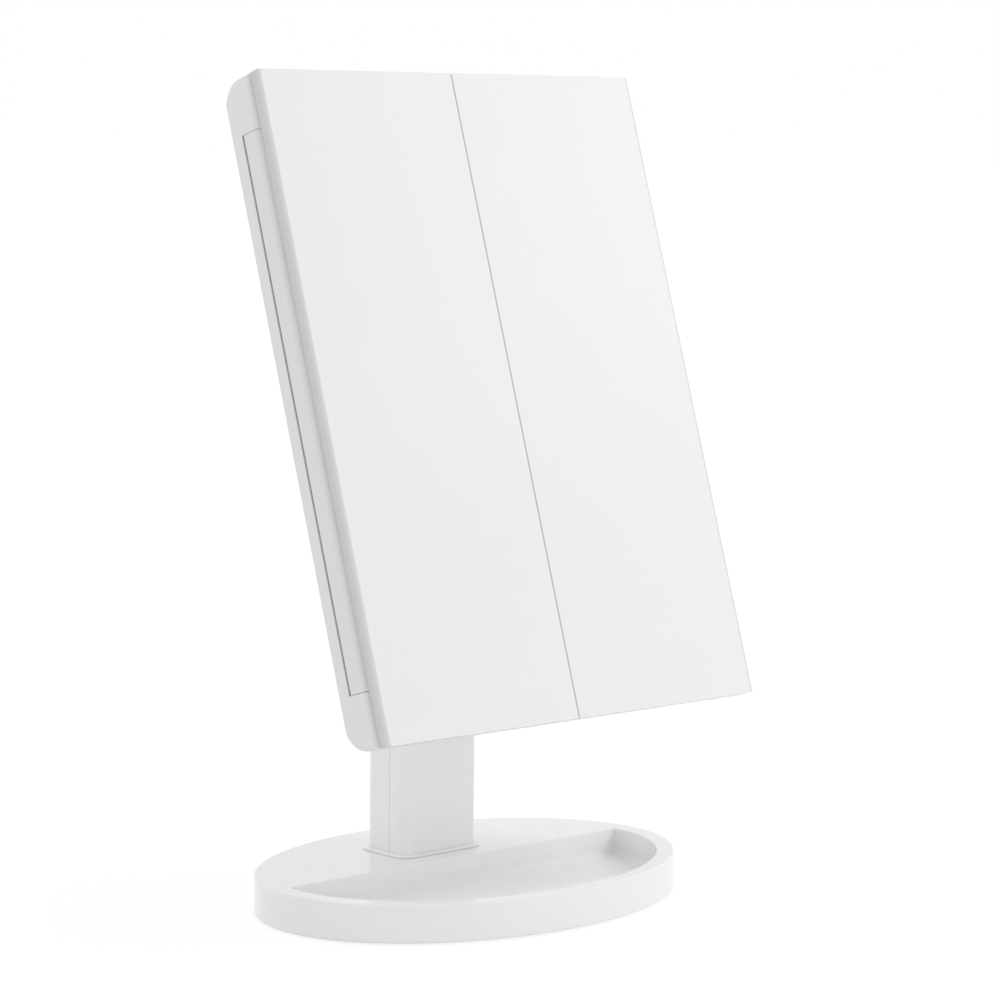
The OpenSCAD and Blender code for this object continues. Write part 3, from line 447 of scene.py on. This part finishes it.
# ---- Tilt hinge ----
# A satin yoke carries the head on a steel axle through the post's top.
# Acetal bushes and fibre washers give the tilt its drag, and white caps hide the axle's ends.
acetal = moulded("acetal", pale=(0.8, 0.79, 0.75), deep=(0.75, 0.74, 0.7),
                 rough=(0.35, 0.45), skin=0.00001)
fibre = moulded("pressed_fibre", pale=(0.2, 0.14, 0.09), deep=(0.12, 0.08, 0.05),
                rough=(0.75, 0.9), skin=0.00006)
dress(satin_white, "hinge_yoke", edge=0.0005)
dress(gloss_white, "axle_caps", edge=0.0005)
dress(acetal, "hinge_bushes", edge=0.0002)
dress(fibre, "friction_washers", edge=0.0001)
dress(rolled_steel, "tilt_axle", edge=0.0002)
dress(nickel, "axle_nut", "yoke_screws", edge=0.0002)


# ---- Rear case ----
# One white moulding of a softer gloss, with a battery hump, screwed to the light tray.
# Its back edges are rolled over, most of all at the top and bottom.
case_white = moulded("case_white", pale=(0.86, 0.86, 0.862), deep=(0.855, 0.855, 0.858),
                     rough=(0.27, 0.31), skin=0.000005)
dress(case_white, "rear_case", edge=0.0004)
dress(nickel, "case_screws", edge=0.0002)


# ---- Batteries, contacts and cover ----
# Four cells in printed plastic sleeves lie between bent spring contacts.
# A satin cover with finger ribs slides down over them.
tilt_axis, axis_in_head, lean = (0, 0.040, 0.3025), (0, 0.0654, 0.2186), math.radians(-17.8)
head_place = (Matrix.Translation(tilt_axis) @ Matrix.Rotation(lean, 4, "X")
              @ Matrix.Translation(-Vector(axis_in_head)))


def in_head(name):
    """A CAD node's lowest and highest corners in the tilted head's own frame."""
    back_to_head = head_place.inverted()
    points = [back_to_head @ vertex.co for vertex in nodes[name].data.vertices]
    return (Vector([min(p[k] for p in points) for k in range(3)]),
            Vector([max(p[k] for p in points) for k in range(3)]))


def from_axis(tree, place):
    """Each point's X, Y and Z from the tilt axis, turned as the head is at rest."""
    turned = node(tree, "Mapping", {"Location": tilt_axis, "Rotation": (lean, 0, 0)},
                  vector_type="TEXTURE")
    parts = node(tree, "SeparateXYZ")
    feed(tree, place, "Object", turned, "Vector")
    feed(tree, turned, "Vector", parts, "Vector")
    return parts


low_corner, high_corner = in_head("aa_cells")
tin_grey, sleeve_dark, band_grey = (0.6, 0.6, 0.62), (0.05, 0.055, 0.065), (0.3, 0.31, 0.33)
sleeve, tree, out = node_tree("cell_sleeve")
shell = node(tree, "BsdfPrincipled", {"Roughness": 0.28, "Coat Weight": 0.5})
place = node(tree, "TexCoord")
run = node(tree, "MapRange", {"From Min": low_corner.z - axis_in_head[2],
                              "From Max": high_corner.z - axis_in_head[2]})
bands = ramp(tree, (0, tin_grey), (0.015, sleeve_dark), (0.24, band_grey), (0.26, sleeve_dark),
             (0.74, band_grey), (0.76, sleeve_dark), (0.985, tin_grey), blend="CONSTANT")
wrap = node(tree, "TexNoise", {"Scale": 350})
crinkle = node(tree, "Bump", {"Strength": 0.3, "Distance": 0.00002})
feed(tree, from_axis(tree, place), "Z", run, "Value")
feed(tree, run, "Result", bands, "Fac")
feed(tree, bands, "Color", shell, "Base Color")
feed(tree, place, "Object", wrap, "Vector")
feed(tree, wrap, "Fac", crinkle, "Height")
feed(tree, crinkle, "Normal", shell, "Normal")
feed(tree, shell, "BSDF", out, "Surface")
dress(sleeve, "aa_cells", edge=0.0004)
dress(nickel, "battery_contacts")
dress(satin_white, "battery_cover", edge=0.00025)


# ---- Light tray, lamps and leads ----
# A satin tray holds flat strips of small lamps round the glass, wired to a board behind it.
# The board carries the power inlet, and the slide switch's knob stands out of the case.
strip_film = moulded("strip_film", pale=(0.82, 0.82, 0.78), deep=(0.76, 0.76, 0.71),
                     rough=(0.4, 0.5), skin=0.00002)
lamp_gel = moulded("lamp_gel", pale=(0.85, 0.72, 0.25), deep=(0.8, 0.64, 0.18),
                   rough=(0.3, 0.4), skin=0.00003)
solder_mask = moulded("solder_mask", pale=(0.02, 0.16, 0.07), deep=(0.015, 0.1, 0.045),
                      rough=(0.3, 0.4), skin=0.00003)
switch_black = moulded("switch_black", pale=(0.035, 0.035, 0.037), deep=(0.025, 0.025, 0.027),
                       rough=(0.35, 0.5), skin=0.00003)
wire_red = moulded("wire_red", pale=(0.5, 0.03, 0.025), deep=(0.42, 0.02, 0.02),
                   rough=(0.35, 0.45), skin=0.00002)
dress(satin_white, "light_tray", edge=0.0003)
dress(strip_film, "light_strips")
dress(lamp_gel, "light_chips", edge=0.0001)
dress(solder_mask, "control_board", "touch_sensor")
dress(nickel, "board_screws", edge=0.0001)
dress(nickel, "usb_socket", edge=0.00008)
dress(switch_black, "switch_body", "power_slider", edge=0.0002)
dress(wire_red, "leads", edge=0.0002)


# ---- Inlet tongue ----
# A black tongue stands in the inlet's shell and carries five flat plated contacts.
# It is moulded into the shell's back end and stops short of its mouth.
def inlet_plate(name, middle, half_size, depths, finish, slot, edge=0.0001, radius=0.0003):
    """A flat round-cornered piece across the inlet, between two depths, with eased edges."""
    (half_w, half_h), (inner, outer) = half_size, depths
    rings = []
    for inset, y in ((edge, inner), (0, inner + edge), (0, outer - edge), (edge, outer)):
        outline = ring_of(half_w - inset, half_h - inset, min(radius, half_h - 2 * inset), 3)
        rings.append([tuple(head_place @ Vector((middle[0] + x, y, middle[1] + z)))
                      for x, z in outline])
    piece(name, *stack(rings), finish, "head", slot)


low_corner, high_corner = in_head("usb_socket")
inlet_x, inlet_z = (low_corner.x + high_corner.x) / 2, (low_corner.z + high_corner.z) / 2
tongue_half, contact_half = (0.0028, 0.0004), (0.00025, 0.00007)
tongue_root = low_corner.y + 0.0002
tongue_tip = high_corner.y - 0.0012
tongue_lift, contact_drop, contact_pitch = 0.0003, 0.00014, 0.001
contact_depths = (tongue_tip - 0.003, tongue_tip - 0.0004)
gold = metal("contact_gold", (0.83, 0.62, 0.3), rough=(0.2, 0.3))
inlet_plate("inlet_tongue", (inlet_x, inlet_z + tongue_lift), tongue_half,
            (tongue_root, tongue_tip), switch_black, "black")
for k in range(5):
    contact_middle = (inlet_x + (k - 2) * contact_pitch, inlet_z - contact_drop)
    inlet_plate(f"inlet_contact_{k + 1}", contact_middle, contact_half, contact_depths, gold,
                "steel", edge=0.00002)


# ---- Diffuser and front frame ----
# A frosted sheet spreads the lamps' light in a band round the centre glass.
# A satin frame closes the head's front edge around it.
frosted, tree, out = node_tree("frosted_sheet")
shell = node(tree, "BsdfPrincipled", {"Roughness": 0.5, "Subsurface Weight": 0.25,
                                      "Subsurface Radius": (0.003, 0.003, 0.003)})
place = node(tree, "TexCoord")
blast = node(tree, "TexNoise", {"Scale": 2200, "Detail": 2})
cloud = node(tree, "TexNoise", {"Scale": 60})
tint = ramp(tree, (0, (0.8, 0.83, 0.855)), (1, (0.83, 0.855, 0.88)))
relief = node(tree, "Bump", {"Strength": 0.5, "Distance": 0.00002})
feed(tree, place, "Object", blast, "Vector")
feed(tree, place, "Object", cloud, "Vector")
feed(tree, cloud, "Fac", tint, "Fac")
feed(tree, tint, "Color", shell, "Base Color")
feed(tree, blast, "Fac", relief, "Height")
feed(tree, relief, "Normal", shell, "Normal")
feed(tree, shell, "BSDF", out, "Surface")
dress(frosted, "light_diffuser", edge=0.0002)
dress(satin_white, "front_frame", edge=0.0005)


# ---- Mirror glasses ----
# Silvered float glass with ground edges: one pane in the head and three in the doors.
# The two that magnify are ground slightly hollow, the stronger one more deeply.
silvered, tree, out = node_tree("silvered_glass")
shell = node(tree, "BsdfPrincipled", {"Metallic": 1, "Base Color": (0.9, 0.925, 0.915, 1),
                                      "IOR": 1.52})
place = node(tree, "TexCoord")
smear = node(tree, "TexNoise", {"Scale": 22, "Detail": 3})
haze = node(tree, "MapRange", {"From Min": 0.55, "To Min": 0.004, "To Max": 0.03})
feed(tree, place, "Object", smear, "Vector")
feed(tree, smear, "Fac", haze, "Value")
feed(tree, haze, "Result", shell, "Roughness")
feed(tree, shell, "BSDF", out, "Surface")
ground_edge = moulded("ground_glass", pale=(0.62, 0.76, 0.72), deep=(0.52, 0.68, 0.64),
                      rough=(0.3, 0.4), skin=0.00002)


def glass_pane(name, node_name, body, face, hollow=0.0, cells=28, edge=0.0005, ease=0.0003):
    """A pane in its CAD node's place; the side that shines is -1, its front, or 1, its back."""
    low, high = in_head(node_name)
    shine, rear = (high.y, low.y) if face > 0 else (low.y, high.y)
    middle_x, middle_z = (low.x + high.x) / 2, (low.z + high.z) / 2
    half_w, half_h = (high.x - low.x) / 2 - edge, (high.z - low.z) / 2 - edge
    points = []
    for j in range(cells + 1):
        for i in range(cells + 1):
            u, v = 2 * i / cells - 1, 2 * j / cells - 1
            dip = hollow * (1 - u * u) * (1 - v * v)
            points.append((middle_x + half_w * u, shine - face * dip, middle_z + half_h * v))
    row = cells + 1
    faces = [(k, k + 1, k + row + 1, k + row)
             for j in range(cells) for k in range(j * row, j * row + cells)]
    front = len(faces)
    rim = (list(range(cells)) + [j * row + cells for j in range(cells)]
           + [cells * row + i for i in range(cells, 0, -1)]
           + [j * row for j in range(cells, 0, -1)])
    outline = [points[k] for k in rim]
    for grow, y in ((edge, shine - face * edge), (edge, rear + face * ease),
                    (edge - ease, rear)):
        ring = list(range(len(points), len(points) + len(rim)))
        points += [(middle_x + (x - middle_x) * (1 + grow / half_w), y,
                    middle_z + (z - middle_z) * (1 + grow / half_h)) for x, _, z in outline]
        faces += [(rim[k], rim[(k + 1) % len(rim)], ring[(k + 1) % len(rim)], ring[k])
                  for k in range(len(rim))]
        rim = ring
    faces.append(tuple(rim))
    made = piece(name, [tuple(head_place @ Vector(p)) for p in points], faces, silvered, body,
                 "mirror", [node_name], crisp=20)
    made.data.materials.append(ground_edge)
    for side in made.data.polygons[front:len(faces) - 1]:
        side.material_index = 1


glass_pane("centre_glass", "centre_mirror", "head", -1)
glass_pane("glass_2x", "mirror_2x", "left_door", 1, hollow=0.0011)
glass_pane("glass_3x", "mirror_3x", "left_door", 1, hollow=0.0019)
glass_pane("right_glass", "right_mirror", "right_door", 1)


# ---- Touch mark ----
# A small grey ring with a dot, printed on the centre glass over the touch sensor.
# It shows where a finger switches and dims the light.
print_grey = moulded("print_grey", pale=(0.3, 0.3, 0.31), deep=(0.26, 0.26, 0.27),
                     rough=(0.5, 0.6), skin=0.00001)
sensor_low, sensor_high = in_head("touch_sensor")
mark_x, mark_z = (sensor_low.x + sensor_high.x) / 2, (sensor_low.z + sensor_high.z) / 2
glass_y = in_head("centre_mirror")[0].y
ink_face, ink_back = glass_y - 0.00004, glass_y - 0.00001
ring_in, ring_out, dot_r = 0.0045, 0.0051, 0.0009


def print_ring(radius, y, count=48):
    turns = [2 * math.pi * k / count for k in range(count)]
    return [tuple(head_place @ Vector((mark_x + radius * math.cos(turn), y,
                                       mark_z + radius * math.sin(turn)))) for turn in turns]


ring_points, ring_faces = stack([print_ring(ring_in, ink_face), print_ring(ring_out, ink_face),
                                 print_ring(ring_out, ink_back), print_ring(ring_in, ink_back)],
                                loop=True)
dot_points, dot_faces = stack([print_ring(dot_r, ink_face), print_ring(dot_r, ink_back)])
dot_faces = [tuple(k + len(ring_points) for k in face) for face in dot_faces]
piece("touch_mark", ring_points + dot_points, ring_faces + dot_faces, print_grey, "head",
      "black")


# ---- Doors ----
# Each door is a thin gloss white face on a rim that carries the hinge barrel; the rim's grey is
# painted shade, painted darker still in the crease next to the barrel.
# A satin frame holds its glass on foam tape, and steel pins at both ends carry it.
foam = moulded("foam_tape", pale=(0.1, 0.1, 0.105), deep=(0.06, 0.06, 0.065),
               rough=(0.8, 0.95), skin=0.0002)
door_white = moulded("door_white", pale=(0.915, 0.897, 0.917), deep=(0.908, 0.89, 0.91),
                     rough=(0.18, 0.22), skin=0.000005)
face_depth, face_half_w, rim_depth = 0.0005, 0.132, 0.01
# Painted shade: the rim grey stands in for the shade on the door's side, the crease grey for the
# deeper shade beside the barrel.
rim_shade_grey, crease_shade_grey, barrel_white = (0.755, 0.745, 0.755), (0.6, 0.59, 0.6), (0.84, 0.835, 0.84)
tree = door_white.node_tree
place, shell = tree.nodes["Texture Coordinate"], tree.nodes["Principled BSDF"]
face_tint = shell.inputs["Base Color"].links[0].from_node
parts = from_axis(tree, place)
behind = node(tree, "MapRange", {"From Min": -axis_in_head[1],
                                 "From Max": rim_depth - axis_in_head[1]})
# Painted shade from the face backwards: rim shade, darker crease shade, then the barrel's own
# white.
rim_painted_shade = ramp(tree, (0.05, rim_shade_grey), (0.6, crease_shade_grey), (0.66, barrel_white))
past_face = node(tree, "Math", {1: face_depth - axis_in_head[1]}, operation="GREATER_THAN")
outward = node(tree, "Math", operation="ABSOLUTE")
past_side = node(tree, "Math", {1: face_half_w}, operation="GREATER_THAN")
# Mask of the rim, where the painted shade takes the place of the face colour.
shaded_rim_mask = node(tree, "Math", operation="MAXIMUM")
both = node(tree, "MixRGB")
feed(tree, parts, "Y", behind, "Value")
feed(tree, behind, "Result", rim_painted_shade, "Fac")
feed(tree, parts, "Y", past_face, 0)
feed(tree, parts, "X", outward, 0)
feed(tree, outward, 0, past_side, 0)
feed(tree, past_face, 0, shaded_rim_mask, 0)
feed(tree, past_side, 0, shaded_rim_mask, 1)
feed(tree, shaded_rim_mask, 0, both, "Fac")
feed(tree, face_tint, "Color", both, "Color1")
feed(tree, rim_painted_shade, "Color", both, "Color2")
feed(tree, both, "Color", shell, "Base Color")
dress(door_white, "left_door_shell", "right_door_shell", edge=0.0003)
dress(satin_white, "left_door_frame", "right_door_frame", edge=0.0003)
dress(foam, "left_mirror_tapes", "right_mirror_tape")
dress(rolled_steel, "left_hinge_pins", "right_hinge_pins", edge=0.0002)
